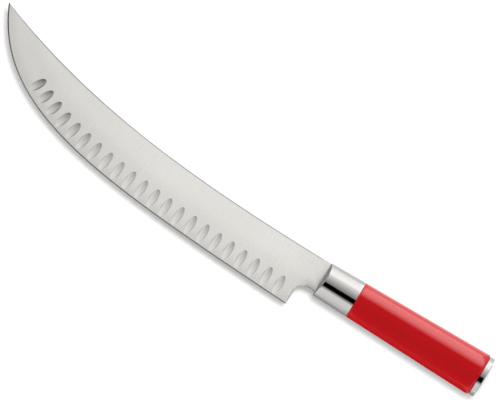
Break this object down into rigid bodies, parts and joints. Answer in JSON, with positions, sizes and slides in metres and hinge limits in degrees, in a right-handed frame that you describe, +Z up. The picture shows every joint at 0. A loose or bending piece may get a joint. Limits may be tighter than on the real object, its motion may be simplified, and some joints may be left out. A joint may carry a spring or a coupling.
{
  "type": "cimeter knife",
  "caption": "Long upswept butcher's knife: scalloped steel blade with a square heel, polished steel bolster, swelling oval red plastic grip and domed steel end cap.",
  "frame": {"origin": "on the surface that the knife lies on, under the middle of its box", "axes": "+X along the handle's axis towards the butt, +Y from the cutting edge towards the spine, +Z up, out of the blade's left side"},
  "size_m": [0.3746, 0.0704, 0.0229],
  "materials": {
    "satin_steel": "fine satin grind",
    "polished_steel": "mirror polish",
    "zinc_steel": "zinc plated",
    "red_plastic": "moulded, soft gloss",
    "black_nylon": "moulded, matt",
    "seal_rubber": "moulded"
  },
  "bodies": {
    "root": {"blade": "satin_steel", "bolster": "polished_steel", "grip_core": "black_nylon", "grip": "red_plastic", "tang_stud": "zinc_steel", "flat_washer": "zinc_steel", "spring_washer": "zinc_steel", "clamp_nut": "zinc_steel", "cap_seal": "seal_rubber", "end_cap": "polished_steel"}
  },
  "joints": []
}
